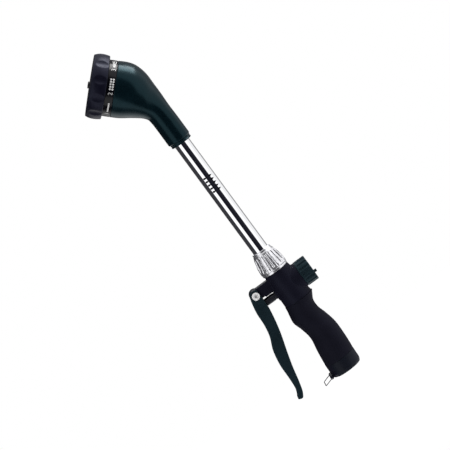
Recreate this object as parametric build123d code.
from build123d import *
import math
import os

# Watering wand, in millimetres.
# The origin is the centre of the hose inlet's mouth. +Z runs up the wand tube, -X is the
# side of the trigger and of the spray dial, +X the side of the flow knob. The wand is
# symmetric about the plane y = 0, apart from its fasteners and its dial.

# ---------------------------------------------------------------- driving dimensions
# wand tube
TUBE_R = 9.5
TUBE_WALL = 0.8
TUBE_BOTTOM = 133.0
TUBE_TOP = 347.0
TUBE_FIT = 0.1          # radial gap round the tube where it sits in a socket

# clamping nut at the foot of the tube
NUT_BOTTOM = 139.7
NUT_TOP = 168.0
NUT_SKIRT_R = 16.2
NUT_BELLY_R = 16.7
NUT_NOSE_R = 11.6
NUT_FLUTES = 21
NUT_FLUTE_R = 1.5
NUT_FLUTE_BOTTOM = 143.5
NUT_FLUTE_TOP = 163.5
NUT_FLUTE_REACH = 15.95     # from the tube's axis to the middle of a flute's own axis
NUT_FLUTE_LEAN = 11.6       # degrees, following the belly's taper
COLLET_R = 11.5             # pocket for the collet inside the nut
COLLET_BOTTOM = 151.5
COLLET_TOP = 158.0

# housing and valve body
HOUSING_BOTTOM = 98.0
HOUSING_TOP = 139.5
BODY_R = 13.0           # round block of the valve body
BOSS_R = 15.3           # boss of the housing behind the flow knob
SPIGOT_TOP = 149.0
PIPE_R = 9.5            # water pipe inside the grip
PIPE_BORE_R = 6.5
PIPE_BOTTOM = 16.0
PIPE_BORE_TOP = 103.5
OUTLET_BORE_R = 8.4
OUTLET_BORE_BOTTOM = 125.0
CHAMBER_R = 6.0
SEAT_X = -1.0           # face of the valve seat
SEAT_BORE_R = 3.8
OUTLET_X = -4.5         # far wall of the outlet side of the valve
GLAND_R = 6.5           # outside of the gland that guides the plunger
GLAND_START_X = -15.4
GLAND_END_X = -6.2
PARTITION_X = 9.5       # wall between the valve chamber and the flow chamber
PARTITION_WALL = 1.5
FLOW_CHAMBER_R = 9.5
FLOW_PORT_R = 2.6
FLOW_PORT_DROP = 3.6    # from the knob's axis down to the port
FEED_R = 3.0            # slanted passage from the pipe to the valve's inlet side
FEED_SLOPE = 48.0
BOSS_FACE_X = 19.4

# trigger and plunger
PIVOT_X = -35.2
PIVOT_Z = 129.7
PIVOT_R = 2.5
RUNNING_FIT = 0.06
ARM_HALF_WIDTH = 7.0
ARM_TOP = 136.0
ARM_BOTTOM = 123.0
LEVER_HALF_WIDTH = 10.5
LEVER_WALL = 2.5
LEVER_EAR_R = 7.0
LEVER_WEB_TOP = 122.5
PLUNGER_Z = 116.0
PLUNGER_R = 4.5
PLUNGER_TIP_X = -30.4
PAD_R = 4.0             # rounded nose on the trigger that pushes the plunger
PAD_Z = 115.5
PAD_GAP = 0.25
STEM_R = 2.0
STEM_START_X = -22.0
SEAL_THICK = 2.4
DISC_THICK = 1.0        # disc on the stem that backs the seal
SCREW_HEAD_R = 4.55
SCREW_HEAD_THICK = 2.0
PIVOT_NUT_R = 4.6
PIVOT_NUT_THICK = 2.6
PIVOT_WASHER_R = 4.4
PIVOT_WASHER_THICK = 0.8
SIDE_GAP = 0.3          # between the trigger's ears and the pivot's screw head and nut

# flow knob
KNOB_Z = 118.7
KNOB_R = 15.6
KNOB_INNER_X = 20.0
KNOB_OUTER_X = 34.5
KNOB_DOME = 0.9
KNOB_WALL = 3.0
KNOB_HUB_R = 6.0
KNOB_FLUTES = 16
KNOB_FLUTE_R = 1.9
POINTER_R = 1.75
POINTER_TIP_X = 37.6
POINTER_OFFSET = 6.2
SPINDLE_R = 3.0
SPINDLE_END_X = 31.0
BUSH_START_X = 15.2

# grip: height, front edge, back edge and half width of each section
GRIP_SECTIONS = [
    (98.0, -16.4, 20.8, 17.3),
    (93.5, -16.8, 18.2, 16.8),
    (88.0, -17.9, 15.2, 16.3),
    (79.0, -19.2, 14.5, 16.0),
    (68.0, -16.2, 17.4, 16.0),
    (54.0, -13.6, 20.4, 16.2),
    (36.0, -16.2, 20.6, 16.8),
    (16.5, -18.6, 19.2, 18.2),
    (6.0, -19.1, 18.9, 18.6),
]
SLEEVE_BOTTOM = 16.5
SLEEVE_THICK = 3.0

# hose connector: 3/4 inch garden hose thread, female, drawn at its crest radius
THREAD_R = 12.19
THREAD_LENGTH = 12.5
WASHER_R = 13.1
WASHER_BORE_R = 8.0
WASHER_THICK = 3.0
CONNECTOR_NECK_R = 13.0
CONNECTOR_NECK_TOP = 20.0
TONGUE_X = -13.2        # the clip bracket lies in front of this plane

# hold-open clip
CLIP_X = -20.0
CLIP_Z = 4.0
CLIP_WIRE_R = 0.55
CLIP_BAR_R = 2.0
CLIP_BAR_HALF = 13.0
CLIP_LEG_Y = 14.4
CLIP_TIP_Y = 13.8
CLIP_TIP_X = -30.9
CLIP_TIP_Z = 0.75       # low enough for the trigger's foot to pass over it

# spray head
FACE_X = -45.0
FACE_Z = 431.0
HEAD_TILT = 45.0        # lean of the dial's axis from the tube, towards -X
RIM_R = 36.7
RIM_FRONT_R = 35.0
RIM_DEPTH = 18.0
RIM_GROOVES = 11
RIM_GROOVE_R = 14.0
RIM_GROOVE_DEPTH = 1.2
RIM_FIRST_GROOVE = -74.5    # angle about the dial's axis, from its upper side towards +Y
DIAL_R = 30.6           # joint between the rim and the dial inside it
FACE_THICK = 2.6
BAND_R = 31.8
BAND_FRONT = 18.2
BAND_BACK = 27.3
SHELL_FRONT = 27.6
SHELL_WALL = 2.6
PATTERNS = 7
PATTERN_R = 19.0        # from the dial's axis to the middle of each pattern
DIAL_BACK = 25.2        # flat back of the dial's body
DIAL_BACK_R = 29.4
POCKET_INNER_R = 8.5
POCKET_OUTER_R = 28.6
POCKET_RIB = 1.1        # half the wall between two pockets
POCKET_DEPTH = 12.0
AXLE_R = 4.0
AXLE_TOP = -2.9
AXLE_BOTTOM = -37.0
DIAL_SCREW_R = 1.6
HUB_R = 3.9
HUB_PROUD = 2.2
HUB_FLANGE_R = 6.05
HUB_FLANGE_BOTTOM = -1.1
PLATE_FRONT = -28.4     # plate that closes the shell's mouth
PLATE_BACK = -31.5
PLATE_R = 29.0
PORT_R = 3.4
NECK_R = 14.0
NECK_X = -0.2
NECK_TOP = 345.0
NECK_BOTTOM = 322.6
NECK_SEALS = (329.0, 336.0)     # bottoms of the two O-ring grooves
NECK_SEAL_GROOVE = 2.6
NECK_SEAL_GROOVE_R = 11.3
NECK_RING_BOTTOM = 318.3
NECK_RING_R = 12.8

os.makedirs("parts", exist_ok=True)

# ---------------------------------------------------------------- helpers
tilt = math.radians(HEAD_TILT)
HEAD = Plane(
    origin=(FACE_X, 0, FACE_Z),
    x_dir=(math.cos(tilt), 0, math.sin(tilt)),
    z_dir=(-math.sin(tilt), 0, math.cos(tilt)),
)


def save(node, *solids):
    """Write one named piece, or one group of like pieces, to its own file."""
    shape = solids[0] if len(solids) == 1 else Compound(children=list(solids))
    shape.label = node
    export_step(shape, f"parts/{node}.step")


def tower(radius, bottom, top, x=0.0, y=0.0):
    """Upright cylinder from one height to another."""
    return Pos(x, y, bottom) * Cylinder(
        radius, top - bottom, align=(Align.CENTER, Align.CENTER, Align.MIN)
    )


def along_x(radius, start, end, z, y=0.0):
    """Cylinder that runs along X at height z."""
    return Pos(start, y, z) * Rot(0, 90, 0) * Cylinder(
        radius, end - start, align=(Align.CENTER, Align.CENTER, Align.MIN)
    )


def along_y(radius, start, end, x, z):
    """Cylinder that runs along Y."""
    return Pos(x, start, z) * Rot(-90, 0, 0) * Cylinder(
        radius, end - start, align=(Align.CENTER, Align.CENTER, Align.MIN)
    )


def block(x, y, z):
    """Box between pairs of limits along each axis."""
    centre = Pos((x[0] + x[1]) / 2, (y[0] + y[1]) / 2, (z[0] + z[1]) / 2)
    return centre * Box(x[1] - x[0], y[1] - y[0], z[1] - z[0])


def turned(profile):
    """Solid of revolution about Z from (radius, height) points."""
    outline = make_face(Polyline([(r, 0, z) for r, z in profile], close=True))
    return revolve(outline, Axis.Z)


def ring(major, minor, z):
    """O-ring about the tube's axis."""
    return Pos(0, 0, z) * Torus(major, minor)


def coil(radius, wire, length, turns):
    """Compression spring along Z from zero, as one swept helix."""
    path = Helix(pitch=length / turns, height=length, radius=radius)
    section = Plane(origin=path @ 0, z_dir=path % 0) * Circle(wire)
    return sweep(section, path=path, is_frenet=True)


def head(shape):
    """Place a shape drawn about Z, with the spray face at zero, on the dial's axis."""
    return HEAD.location * shape


# ---------------------------------------------------------------- tube and its nut
def wand_tube():
    tube = tower(TUBE_R, TUBE_BOTTOM, TUBE_TOP)
    return tube - tower(TUBE_R - TUBE_WALL, TUBE_BOTTOM, TUBE_TOP)


def nut_outline():
    """Outside of the nut, from its skirt up to its nose."""
    skirt = Line((NUT_SKIRT_R, 0, NUT_BOTTOM), (NUT_SKIRT_R, 0, NUT_BOTTOM + 2.8))
    belly = Spline(
        (NUT_BELLY_R, 0, NUT_BOTTOM + 3.3),
        (15.9, 0, 152.5),
        (14.0, 0, 160.0),
        (12.1, 0, NUT_TOP - 3.0),
    )
    return skirt, belly


def tube_nut():
    skirt, belly = nut_outline()
    bore = TUBE_R + TUBE_FIT
    spigot = BODY_R + TUBE_FIT
    outline = [
        skirt,
        Line(skirt @ 1, belly @ 0),
        belly,
        Polyline(
            belly @ 1,
            (NUT_NOSE_R, 0, NUT_TOP - 0.8),
            (NUT_NOSE_R - 0.6, 0, NUT_TOP),
            (bore, 0, NUT_TOP),
            (bore, 0, COLLET_TOP + 1.5),
            (COLLET_R, 0, COLLET_TOP),
            (COLLET_R, 0, COLLET_BOTTOM),
            (spigot, 0, COLLET_BOTTOM),
            (spigot, 0, NUT_BOTTOM),
            skirt @ 0,
        ),
    ]
    nut = revolve(make_face(outline), Axis.Z)
    middle = (NUT_FLUTE_BOTTOM + NUT_FLUTE_TOP) / 2
    flute = Cylinder(NUT_FLUTE_R, NUT_FLUTE_TOP - NUT_FLUTE_BOTTOM)
    for place in PolarLocations(0, NUT_FLUTES):
        nut -= place * Pos(NUT_FLUTE_REACH, 0, middle) * Rot(0, -NUT_FLUTE_LEAN, 0) * flute
    return nut


def tube_collet():
    """Split plastic ring that the nut squeezes on to the tube."""
    bore = TUBE_R + 0.05
    outside = COLLET_R - 0.1
    bottom = COLLET_BOTTOM + 0.5
    collet = turned([
        (bore, bottom), (outside, bottom), (outside, COLLET_TOP - 1.4), (bore, COLLET_TOP - 0.2)
    ])
    split = block((0, COLLET_R + 1), (-0.8, 0.8), (COLLET_BOTTOM, COLLET_TOP))
    return collet - split


# ---------------------------------------------------------------- grip
def grip_section(z, front, back, half_width, inset):
    centre = (front + back) / 2
    outline = Ellipse((back - front) / 2 - inset, half_width - inset)
    return Plane(origin=(centre, 0, z), x_dir=(1, 0, 0), z_dir=(0, 0, 1)) * outline


def grip_loft(inset):
    """The grip's whole form, made smaller by inset, and longer by as much at each end."""
    sections = [grip_section(*section, inset) for section in reversed(GRIP_SECTIONS)]
    if inset:
        sections[0] = Pos(0, 0, -inset) * sections[0]
        sections[-1] = Pos(0, 0, inset) * sections[-1]
    return loft(sections)


def grip_space(bottom, top):
    """Slab that spans the grip between two heights."""
    return block((-30, 30), (-30, 30), (bottom, top))


def grip_sleeve():
    sleeve = grip_loft(0) & grip_space(SLEEVE_BOTTOM, HOUSING_BOTTOM)
    return sleeve - grip_loft(SLEEVE_THICK)


def grip_frame():
    """Hard core that fills the soft sleeve round the water pipe."""
    frame = grip_loft(SLEEVE_THICK) & grip_space(SLEEVE_BOTTOM, HOUSING_BOTTOM)
    frame -= tower(PIPE_R + 0.05, 0, HOUSING_TOP)
    return frame - tower(CONNECTOR_NECK_R + 0.05, 0, CONNECTOR_NECK_TOP + 0.1)


# ---------------------------------------------------------------- housing and valve body
def housing_form():
    """Outside of the rigid housing: a round neck that widens into an upright body."""
    sections = [
        (HOUSING_TOP, 0.4, 15.5, 15.5),
        (133.0, 0.9, 16.2, 15.9),
        (122.0, 1.3, 16.9, 16.6),
        (109.0, 1.3, 16.9, 17.0),
        (HOUSING_BOTTOM, 2.0, 17.9, 16.9),
    ]
    rings = [
        Plane(origin=(x, 0, z), x_dir=(1, 0, 0), z_dir=(0, 0, 1)) * Ellipse(half_x, half_y)
        for z, x, half_x, half_y in reversed(sections)
    ]
    return loft(rings)


def pivot_arm():
    """Arm that carries the trigger's pivot, with a rounded end."""
    middle = (ARM_TOP + ARM_BOTTOM) / 2
    half = (ARM_TOP - ARM_BOTTOM) / 2
    arm = block((PIVOT_X, -6.0), (-ARM_HALF_WIDTH, ARM_HALF_WIDTH), (ARM_BOTTOM, ARM_TOP))
    arm += along_y(half, -ARM_HALF_WIDTH, ARM_HALF_WIDTH, PIVOT_X, middle)
    return arm


def handle_housing():
    housing = housing_form() + pivot_arm()
    housing += along_x(BOSS_R, 2.0, BOSS_FACE_X, KNOB_Z)
    housing -= tower(BODY_R, HOUSING_BOTTOM - 1, HOUSING_TOP + 1)
    housing -= along_x(BODY_R, 0, BOSS_FACE_X + 1, KNOB_Z)
    housing -= along_x(GLAND_R, -20, 0, PLUNGER_Z)
    housing -= along_y(PIVOT_R, -ARM_HALF_WIDTH - 1, ARM_HALF_WIDTH + 1, PIVOT_X, PIVOT_Z)
    return housing


def valve_body():
    body = tower(BODY_R, HOUSING_BOTTOM, SPIGOT_TOP)
    body += along_x(BODY_R, 0, BOSS_FACE_X - 0.4, KNOB_Z)
    body += along_x(GLAND_R, GLAND_START_X, 0, PLUNGER_Z)
    body += tower(PIPE_R, PIPE_BOTTOM, HOUSING_BOTTOM)
    # outlet: socket for the tube above a slightly narrower bore
    body -= tower(TUBE_R + 0.05, TUBE_BOTTOM, SPIGOT_TOP)
    body -= tower(OUTLET_BORE_R, OUTLET_BORE_BOTTOM, TUBE_BOTTOM)
    # gland for the plunger, then the outlet side of the valve and its seat
    body -= along_x(PLUNGER_R + RUNNING_FIT, -16, GLAND_END_X, PLUNGER_Z)
    body -= along_x(STEM_R + RUNNING_FIT, GLAND_END_X, OUTLET_X, PLUNGER_Z)
    body -= along_x(CHAMBER_R, OUTLET_X, SEAT_X - 1.0, PLUNGER_Z)
    passage = block((OUTLET_X, SEAT_X - 1.0), (-4.0, 4.0), (PLUNGER_Z, OUTLET_BORE_BOTTOM + 1.0))
    body -= passage
    body -= along_x(SEAT_BORE_R, SEAT_X - 1.0, SEAT_X, PLUNGER_Z)
    # inlet side of the valve, the flow chamber and the pipe that feeds it
    body -= along_x(CHAMBER_R, SEAT_X, PARTITION_X, PLUNGER_Z)
    flow_start = PARTITION_X + PARTITION_WALL
    body -= along_x(FLOW_PORT_R, PARTITION_X, flow_start, KNOB_Z - FLOW_PORT_DROP)
    body -= along_x(FLOW_CHAMBER_R, flow_start, BOSS_FACE_X, KNOB_Z)
    body -= tower(PIPE_BORE_R, PIPE_BOTTOM, PIPE_BORE_TOP)
    feed = Pos(2.5, 0, PIPE_BORE_TOP - 2.0) * Rot(0, FEED_SLOPE, 0) * tower(FEED_R, 0, 17.5)
    return body - feed


def tube_seal():
    """O-ring between the valve body's spigot and the tube."""
    return ring(TUBE_R + 1.25, 1.15, SPIGOT_TOP + 1.5)


# ---------------------------------------------------------------- trigger, plunger and valve
def lever_outline():
    """Side view of the trigger: an ear round the pivot, a swept grip and a turned-out foot."""
    outer = Spline(
        (-43.4, 126.0), (-45.6, 115.0), (-46.9, 96.0), (-50.3, 80.0), (-56.2, 66.0),
        (-59.1, 50.0), (-59.7, 30.0), (-61.2, 16.0), (-63.4, 9.6),
    )
    inner = Spline(
        (-59.4, 4.6), (-56.4, 9.6), (-52.7, 21.4), (-48.6, 39.5), (-43.2, 58.6),
        (-36.4, 81.0), (-32.6, 98.0), (-30.6, 112.0),
    )
    ear_left = (PIVOT_X - LEVER_EAR_R * 0.995, PIVOT_Z - LEVER_EAR_R * 0.1)
    ear_top = (PIVOT_X, PIVOT_Z + LEVER_EAR_R)
    ear_right = (PIVOT_X + LEVER_EAR_R * 0.68, PIVOT_Z + LEVER_EAR_R * 0.733)
    ear = ThreePointArc(ear_left, ear_top, ear_right)
    edges = [
        outer,
        Polyline(outer @ 1, (-65.6, 6.2), (-62.0, 4.5), inner @ 0),
        inner,
        Polyline(inner @ 1, (-30.4, 118.0), ear @ 1),
        ear,
        Line(ear @ 0, outer @ 0),
    ]
    return Plane.XZ * make_face(edges)


def trigger_lever():
    outline = lever_outline()
    lever = extrude(outline, LEVER_HALF_WIDTH, both=True)
    inside = LEVER_HALF_WIDTH - LEVER_WALL
    lever -= Pos(LEVER_WALL + 0.3, 0, 0) * extrude(outline, inside, both=True)
    # the web across the front stops below the pivot arm
    lever -= block((-60, -20), (-inside, inside), (LEVER_WEB_TOP, 140))
    # pad with a rounded nose that pushes the plunger, tied to the web
    nose_x = PLUNGER_TIP_X - PAD_GAP - PAD_R
    pad = block((-50, nose_x), (-PAD_R, PAD_R), (PAD_Z - PAD_R, PAD_Z + PAD_R))
    pad += along_y(PAD_R, -PAD_R, PAD_R, nose_x, PAD_Z)
    lever += pad & extrude(outline, PAD_R, both=True)
    # closed foot
    lever += extrude(outline, inside, both=True) & block((-70, -55), (-inside, inside), (0, 8.0))
    bore = PIVOT_R + RUNNING_FIT
    lever -= along_y(bore, -LEVER_HALF_WIDTH - 1, LEVER_HALF_WIDTH + 1, PIVOT_X, PIVOT_Z)
    return lever


def pivot_screw():
    """Cross-pin with a low round head and a driver recess."""
    start = -LEVER_HALF_WIDTH - SIDE_GAP
    end = LEVER_HALF_WIDTH + SIDE_GAP + PIVOT_NUT_THICK + 0.4
    screw = along_y(PIVOT_R, start, end, PIVOT_X, PIVOT_Z)
    head_face = start - SCREW_HEAD_THICK
    cap = along_y(SCREW_HEAD_R, head_face, start, PIVOT_X, PIVOT_Z)
    cap = fillet(cap.edges().filter_by(GeomType.CIRCLE).sort_by(Axis.Y)[0], 1.2)
    socket = along_y(1.3, head_face - 1, head_face + 1.1, PIVOT_X, PIVOT_Z)
    return screw + cap - socket


def pivot_nut():
    """Hexagon nut on the far end of the cross-pin."""
    start = LEVER_HALF_WIDTH + SIDE_GAP
    face = Plane(origin=(PIVOT_X, start, PIVOT_Z), x_dir=(1, 0, 0), z_dir=(0, 1, 0))
    nut = extrude(face * RegularPolygon(PIVOT_NUT_R, 6), PIVOT_NUT_THICK)
    return nut - along_y(PIVOT_R, start - 1, start + 4, PIVOT_X, PIVOT_Z)


def pivot_washers():
    """Thin washers between the pivot arm and the trigger's two ears."""
    washers = []
    near = ARM_HALF_WIDTH + 0.08
    for start in (near, -near - PIVOT_WASHER_THICK):
        washer = along_y(PIVOT_WASHER_R, start, start + PIVOT_WASHER_THICK, PIVOT_X, PIVOT_Z)
        washers.append(washer - along_y(PIVOT_R, start - 1, start + 2, PIVOT_X, PIVOT_Z))
    return washers


def plunger():
    body = along_x(PLUNGER_R, PLUNGER_TIP_X, -13.2, PLUNGER_Z)
    body = fillet(body.edges().filter_by(GeomType.CIRCLE).sort_by(Axis.X)[0], 0.9)
    return body - along_x(STEM_R, STEM_START_X, 0, PLUNGER_Z)


def valve_stem():
    """Metal rod from the plunger through the seat, with a disc behind the seal."""
    seal_end = SEAT_X + SEAL_THICK
    stem = along_x(STEM_R, STEM_START_X, seal_end, PLUNGER_Z)
    return stem + along_x(4.6, seal_end, seal_end + DISC_THICK, PLUNGER_Z)


def valve_seal():
    seal = along_x(5.2, SEAT_X + 0.02, SEAT_X + SEAL_THICK, PLUNGER_Z)
    return seal - along_x(STEM_R, SEAT_X - 1, SEAT_X + 3, PLUNGER_Z)


def stem_seal():
    """O-ring round the stem, at the bottom of the plunger's gland."""
    return Pos(GLAND_END_X - 1.25, 0, PLUNGER_Z) * Rot(0, 90, 0) * Torus(3.28, 1.2)


def valve_spring():
    disc_end = SEAT_X + SEAL_THICK + DISC_THICK
    length = PARTITION_X - disc_end - 1.3
    spring = coil(3.9, 0.45, length, 4.0)
    return Pos(disc_end + 0.6, 0, PLUNGER_Z) * Rot(0, 90, 0) * spring


# ---------------------------------------------------------------- flow control
def flow_knob():
    knob = along_x(KNOB_R, KNOB_INNER_X, KNOB_OUTER_X, KNOB_Z)
    knob = fillet(knob.edges().filter_by(GeomType.CIRCLE).sort_by(Axis.X)[-1], KNOB_DOME)
    # hollow back with a hub on the spindle
    hollow = along_x(KNOB_R - KNOB_WALL, KNOB_INNER_X - 1, KNOB_OUTER_X - KNOB_WALL, KNOB_Z)
    hollow -= along_x(KNOB_HUB_R, KNOB_INNER_X + 0.6, KNOB_OUTER_X, KNOB_Z)
    knob -= hollow
    flute = along_x(KNOB_FLUTE_R, KNOB_INNER_X + 2.6, KNOB_OUTER_X + 1, 0)
    reach = KNOB_R + KNOB_FLUTE_R - 1.0
    for i in range(KNOB_FLUTES):
        angle = 2 * math.pi * i / KNOB_FLUTES
        knob -= Pos(0, reach * math.sin(angle), KNOB_Z + reach * math.cos(angle)) * flute
    pointer = along_x(POINTER_R, KNOB_OUTER_X - 1, POINTER_TIP_X, KNOB_Z - POINTER_OFFSET)
    knob += fillet(pointer.edges().filter_by(GeomType.CIRCLE).sort_by(Axis.X)[-1], 0.5)
    return knob - along_x(SPINDLE_R, KNOB_INNER_X - 1, SPINDLE_END_X, KNOB_Z)


def flow_spindle():
    """Spindle with a shutter disc that covers or clears the port in the partition."""
    start = PARTITION_X + PARTITION_WALL + 0.1
    spindle = along_x(SPINDLE_R, start, SPINDLE_END_X, KNOB_Z)
    disc = along_x(FLOW_CHAMBER_R - 0.3, start, start + 2.0, KNOB_Z)
    windows = [
        along_x(FLOW_PORT_R, start - 1, start + 3, KNOB_Z - FLOW_PORT_DROP - 1.8, y)
        for y in (-3.0, 0.0, 3.0)
    ]
    return spindle + disc - windows


def spindle_bush():
    """Screwed bush that closes the flow chamber round the spindle."""
    bush = along_x(FLOW_CHAMBER_R, BUSH_START_X, BOSS_FACE_X - 0.4, KNOB_Z)
    bush -= along_x(SPINDLE_R + RUNNING_FIT, BUSH_START_X - 1, BOSS_FACE_X + 1, KNOB_Z)
    return bush - along_x(4.9, BUSH_START_X - 1, BUSH_START_X + 1.6, KNOB_Z)


def spindle_seal():
    """O-ring round the spindle, in a pocket of its bush."""
    return Pos(BUSH_START_X + 0.7, 0, KNOB_Z) * Rot(0, 90, 0) * Torus(SPINDLE_R + 0.95, 0.85)


# ---------------------------------------------------------------- hose connector and clip
def connector_form():
    foot = GRIP_SECTIONS[-1]
    lower = (0.0, foot[1] + 1.9, foot[2] - 1.9, foot[3] - 1.9)
    middle = (3.6, foot[1] + 0.2, foot[2] - 0.2, foot[3] - 0.2)
    top = (SLEEVE_BOTTOM - 0.1,) + GRIP_SECTIONS[-2][1:]
    low_part = loft([grip_section(*lower, 0), grip_section(*middle, 0)])
    return low_part + loft([grip_section(*middle, 0), grip_section(*top, 0)])


def hose_connector():
    connector = connector_form() - block((-30, TONGUE_X), (-30, 30), (-1, 30))
    connector += tower(CONNECTOR_NECK_R, PIPE_BOTTOM, CONNECTOR_NECK_TOP)
    connector -= block((-30, TONGUE_X), (-30, 30), (-1, SLEEVE_BOTTOM))
    connector -= tower(THREAD_R, -1, THREAD_LENGTH)
    connector -= tower(WASHER_R + 0.1, THREAD_LENGTH, PIPE_BOTTOM)
    return connector - tower(PIPE_R, PIPE_BOTTOM, CONNECTOR_NECK_TOP + 1)


def hose_washer():
    washer = tower(WASHER_R, PIPE_BOTTOM - WASHER_THICK, PIPE_BOTTOM)
    return washer - tower(WASHER_BORE_R, THREAD_LENGTH, PIPE_BOTTOM + 1)


def inlet_screen():
    """Perforated disc held in the washer."""
    bottom = PIPE_BOTTOM - 1.8
    screen = tower(WASHER_BORE_R - 0.05, bottom, bottom + 0.6)
    holes = [place * tower(0.55, bottom - 1, bottom + 2) for place in HexLocations(1.0, 5, 5)]
    return screen - holes


def clip_bracket():
    """Strip down the front of the connector, with the barrel that holds the clip's ends."""
    strip = connector_form() & block((-30, TONGUE_X - 0.1), (-30, 30), (0.5, SLEEVE_BOTTOM - 0.1))
    strip += along_y(CLIP_BAR_R, -CLIP_BAR_HALF, CLIP_BAR_HALF, CLIP_X, CLIP_Z)
    strip += block((CLIP_X, TONGUE_X - 2), (-8, 8), (CLIP_Z - CLIP_BAR_R, CLIP_Z + CLIP_BAR_R))
    bore = along_y(CLIP_WIRE_R + RUNNING_FIT, -CLIP_BAR_HALF - 1, CLIP_BAR_HALF + 1, CLIP_X, CLIP_Z)
    return strip - bore


def hold_clip():
    """Wire bail whose ends turn in to the barrel, and whose far side hooks the trigger's foot."""
    half = [
        (CLIP_X, 9.0, CLIP_Z),
        (CLIP_X, CLIP_LEG_Y, CLIP_Z),
        (CLIP_TIP_X, CLIP_TIP_Y, CLIP_TIP_Z),
    ]
    other = [(x, -y, z) for x, y, z in reversed(half)]
    path = FilletPolyline(half + other, radius=1.5)
    section = Plane(origin=path @ 0, z_dir=path % 0) * Circle(CLIP_WIRE_R)
    return sweep(section, path=path)


# ---------------------------------------------------------------- spray head, fixed pieces
def shell_loft(inset):
    """Elbow from the round mouth behind the dial down to the neck round the tube."""
    # centre x and z, tilt, half length across the elbow, half width
    sections = [
        (-25.5, 411.5, 45.0, 31.8, 31.8),
        (-18.6, 405.0, 45.4, 31.8, 31.6),
        (-9.6, 396.8, 48.5, 30.2, 29.6),
        (-3.6, 387.6, 49.0, 26.6, 25.2),
        (-0.9, 375.6, 41.0, 20.4, 19.6),
        (-0.3, 360.0, 17.0, 14.9, 15.0),
        (NECK_X, NECK_TOP, 0.0, NECK_R, NECK_R),
    ]
    rings = []
    for x, z, lean, half_length, half_width in sections:
        angle = math.radians(lean)
        plane = Plane(
            origin=(x, 0, z),
            x_dir=(math.cos(angle), 0, math.sin(angle)),
            z_dir=(-math.sin(angle), 0, math.cos(angle)),
        )
        rings.append(plane * Ellipse(half_length - inset, half_width - inset))
    return loft(rings)


def head_shell():
    neck = tower(NECK_R, NECK_BOTTOM, NECK_TOP, NECK_X)
    neck = chamfer(neck.edges().filter_by(GeomType.CIRCLE).sort_by(Axis.Z)[0], 1.0)
    shell = shell_loft(0) + neck
    shell -= shell_loft(SHELL_WALL)
    shell -= tower(OUTLET_BORE_R, 330, 352)
    shell -= tower(TUBE_R + 0.05, NECK_BOTTOM - 1, TUBE_TOP)
    for z in NECK_SEALS:
        top = z + NECK_SEAL_GROOVE
        shell -= turned([
            (9.0, z), (NECK_SEAL_GROOVE_R, z), (NECK_SEAL_GROOVE_R, top), (9.0, top)
        ])
    return shell


def neck_ring():
    """Ring that keeps the head on the end of the tube."""
    collar = tower(NECK_RING_R, NECK_RING_BOTTOM, NECK_BOTTOM - 0.1)
    collar = chamfer(collar.edges().filter_by(GeomType.CIRCLE), 0.5)
    return collar - tower(TUBE_R + 0.05, NECK_RING_BOTTOM - 1, NECK_BOTTOM + 1)


def neck_seals():
    return [ring(10.42, 0.86, z + NECK_SEAL_GROOVE / 2) for z in NECK_SEALS]


def port_plate():
    """Plate that closes the shell's mouth and carries the axle and the one open port."""
    plate = tower(PLATE_R, PLATE_BACK, PLATE_FRONT)
    plate += tower(7.5, -36.0, PLATE_FRONT)
    plate += tower(6.8, -37.0, PLATE_FRONT, x=PATTERN_R)
    plate -= tower(AXLE_R, -40, 0)
    plate -= tower(PORT_R, -40, 0, x=PATTERN_R)
    return head(plate - tower(5.6, -35.0, -27, x=PATTERN_R))


def plate_seal():
    """O-ring between the port plate and the shell."""
    return head(Pos(0, 0, -33.0) * Torus(27.4, 1.0))


def port_seal():
    """Rubber cup that the port spring presses on to the back of the dial."""
    cup = tower(5.4, -32.0, -25.3, x=PATTERN_R) - tower(3.2, -33.0, -25.0, x=PATTERN_R)
    return head(cup)


def port_spring():
    spring = Pos(PATTERN_R, 0, -34.5) * coil(4.3, 0.4, 2.0, 2.0)
    return head(spring)


def dial_axle():
    """Shouldered steel axle that the dial turns on."""
    axle = tower(AXLE_R, AXLE_BOTTOM, AXLE_TOP) + tower(6.0, AXLE_BOTTOM - 1.5, AXLE_BOTTOM)
    return head(axle - tower(DIAL_SCREW_R, -16, -2))


def dial_screw():
    """Screw and its wide head, which keep the dial on its axle."""
    return head(tower(DIAL_SCREW_R, -15.0, AXLE_TOP) + tower(5.6, AXLE_TOP, -1.2))


def index_spring():
    """Bent strip that clicks into the dial's back at each pattern."""
    strip = block((-24.0, -10.0), (-2.5, 2.5), (-28.35, -27.95))
    bump = Pos(-21.0, 0, -27.3) * Sphere(2.0)
    bump &= block((-30, 0), (-4, 4), (-28.35, -25.0))
    return head(strip + bump)


# ---------------------------------------------------------------- spray head, turning dial
def rim_outline():
    """Half section of the rim: crowned outside, with a rounded back edge."""
    crown = ThreePointArc((RIM_FRONT_R, 0, -0.8), (RIM_R, 0, -9.0), (36.0, 0, -16.0))
    return [
        Polyline((DIAL_R, 0, -RIM_DEPTH), (DIAL_R, 0, 0), (RIM_FRONT_R - 0.8, 0, 0), crown @ 0),
        crown,
        Polyline(crown @ 1, (34.4, 0, -RIM_DEPTH), (DIAL_R, 0, -RIM_DEPTH)),
    ]


def dial_rim():
    rim = revolve(make_face(rim_outline()), Axis.Z)
    reach = RIM_R - RIM_GROOVE_DEPTH + RIM_GROOVE_R
    groove = Cylinder(RIM_GROOVE_R, 60)
    for i in range(RIM_GROOVES):
        angle = RIM_FIRST_GROOVE + 360.0 * i / RIM_GROOVES
        rim -= Rot(0, 0, angle) * Pos(reach, 0, 0) * groove
    return head(rim)


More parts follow.
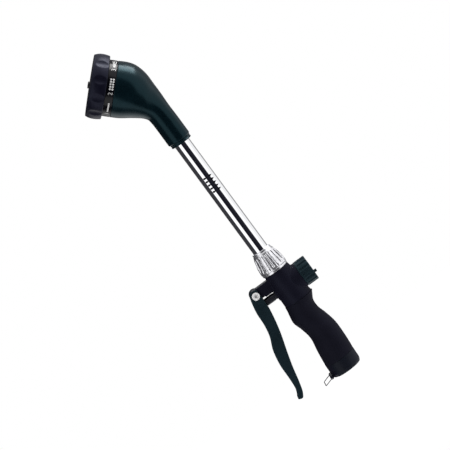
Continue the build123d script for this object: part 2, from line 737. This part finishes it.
def dial_body():
    """Chambered body: one pocket behind each pattern, and a flat back that the port seal rides."""
    body = tower(DIAL_R - 0.05, -RIM_DEPTH, -FACE_THICK - 0.05)
    body += tower(DIAL_BACK_R, -DIAL_BACK, -RIM_DEPTH)
    pocket_floor = Plane.XY.offset(-FACE_THICK - POCKET_DEPTH)
    pocket = extrude(pocket_floor * pattern_pocket(), POCKET_DEPTH + 1.0)
    port = tower(3.0, -DIAL_BACK - 1, -RIM_DEPTH + 6, x=PATTERN_R)
    dimple = Pos(-21.0, 0, -DIAL_BACK) * Sphere(1.4)
    for i in range(PATTERNS):
        turn = Rot(0, 0, 360.0 * i / PATTERNS)
        body -= turn * pocket
        body -= turn * port
        body -= turn * dimple
    body -= tower(6.2, -FACE_THICK - 0.4, 1)
    return head(body - tower(AXLE_R + RUNNING_FIT, -30, 0))


def pattern_pocket():
    """Sector-shaped pocket, drawn about +X."""
    half = math.pi / PATTERNS
    inner = POCKET_INNER_R
    outer = POCKET_OUTER_R
    near = half - POCKET_RIB / inner
    reach = half - POCKET_RIB / outer
    corners = [
        (inner * math.cos(near), -inner * math.sin(near)),
        (outer * math.cos(reach), -outer * math.sin(reach)),
        (outer * math.cos(reach), outer * math.sin(reach)),
        (inner * math.cos(near), inner * math.sin(near)),
    ]
    edges = [
        Line(corners[0], corners[1]),
        ThreePointArc(corners[1], (outer, 0), corners[2]),
        Line(corners[2], corners[3]),
        ThreePointArc(corners[3], (inner, 0), corners[0]),
    ]
    return make_face(edges)


def pattern_holes(index):
    """Holes of one spray pattern, as (x, y, radius) about +X."""
    if index == 0:      # jet
        return [(PATTERN_R, 0, 2.4)]
    if index == 1:      # soaker
        return [(PATTERN_R - 4, 0, 1.6), (PATTERN_R + 4, 3.4, 1.6), (PATTERN_R + 4, -3.4, 1.6)]
    if index == 2:      # fan
        return [(PATTERN_R, 3.2 * k, 0.9) for k in range(-2, 3)]
    if index == 3:      # cone
        turn = 2 * math.pi / 8
        return [
            (PATTERN_R + 4 * math.cos(turn * k), 4 * math.sin(turn * k), 0.7) for k in range(8)
        ]
    rows = {4: (14.5, 18.0, 21.5, 25.0), 5: (16.0, 22.0), 6: (24.5,)}[index]
    holes = []
    for row in rows:
        count = int(row / 4.2)
        for k in range(count):
            angle = (k - (count - 1) / 2) * 3.0 / row
            holes.append((row * math.cos(angle), row * math.sin(angle), 0.55))
    return holes


def spray_face():
    face = tower(DIAL_R - 0.05, -FACE_THICK, -0.3)
    holes = []
    for i in range(PATTERNS):
        turn = Rot(0, 0, 360.0 * i / PATTERNS)
        holes += [turn * tower(r, -4, 1, x=x, y=y) for x, y, r in pattern_holes(i)]
    face -= holes
    return head(face - tower(6.1, -4, 1))


def hub_cap():
    """Plug over the dial's screw, standing proud of the face."""
    cap = tower(HUB_R, HUB_FLANGE_BOTTOM, HUB_PROUD)
    cap = fillet(cap.edges().filter_by(GeomType.CIRCLE).sort_by(Axis.Z)[-1], 0.7)
    return head(cap + tower(HUB_FLANGE_R, HUB_FLANGE_BOTTOM, -0.3))


def dial_band():
    """Smooth band behind the rim that names the patterns."""
    band = tower(BAND_R, -BAND_BACK, -BAND_FRONT) - tower(29.5, -BAND_BACK - 1, -BAND_FRONT + 1)
    return head(band)


# ---------------------------------------------------------------- write every piece
single_pieces = [
    wand_tube, tube_nut, tube_collet, tube_seal, grip_sleeve, grip_frame, handle_housing,
    valve_body, trigger_lever, pivot_screw, pivot_nut, plunger, valve_stem, valve_seal,
    stem_seal, valve_spring, flow_knob, flow_spindle, spindle_bush, spindle_seal,
    hose_connector, hose_washer, inlet_screen, clip_bracket, hold_clip, head_shell, neck_ring,
    port_plate, plate_seal, port_seal, port_spring, dial_axle, dial_screw, index_spring,
    dial_rim, dial_body, spray_face, hub_cap, dial_band,
]
for piece in single_pieces:
    save(piece.__name__, piece())
for group in (pivot_washers, neck_seals):
    save(group.__name__, *group())
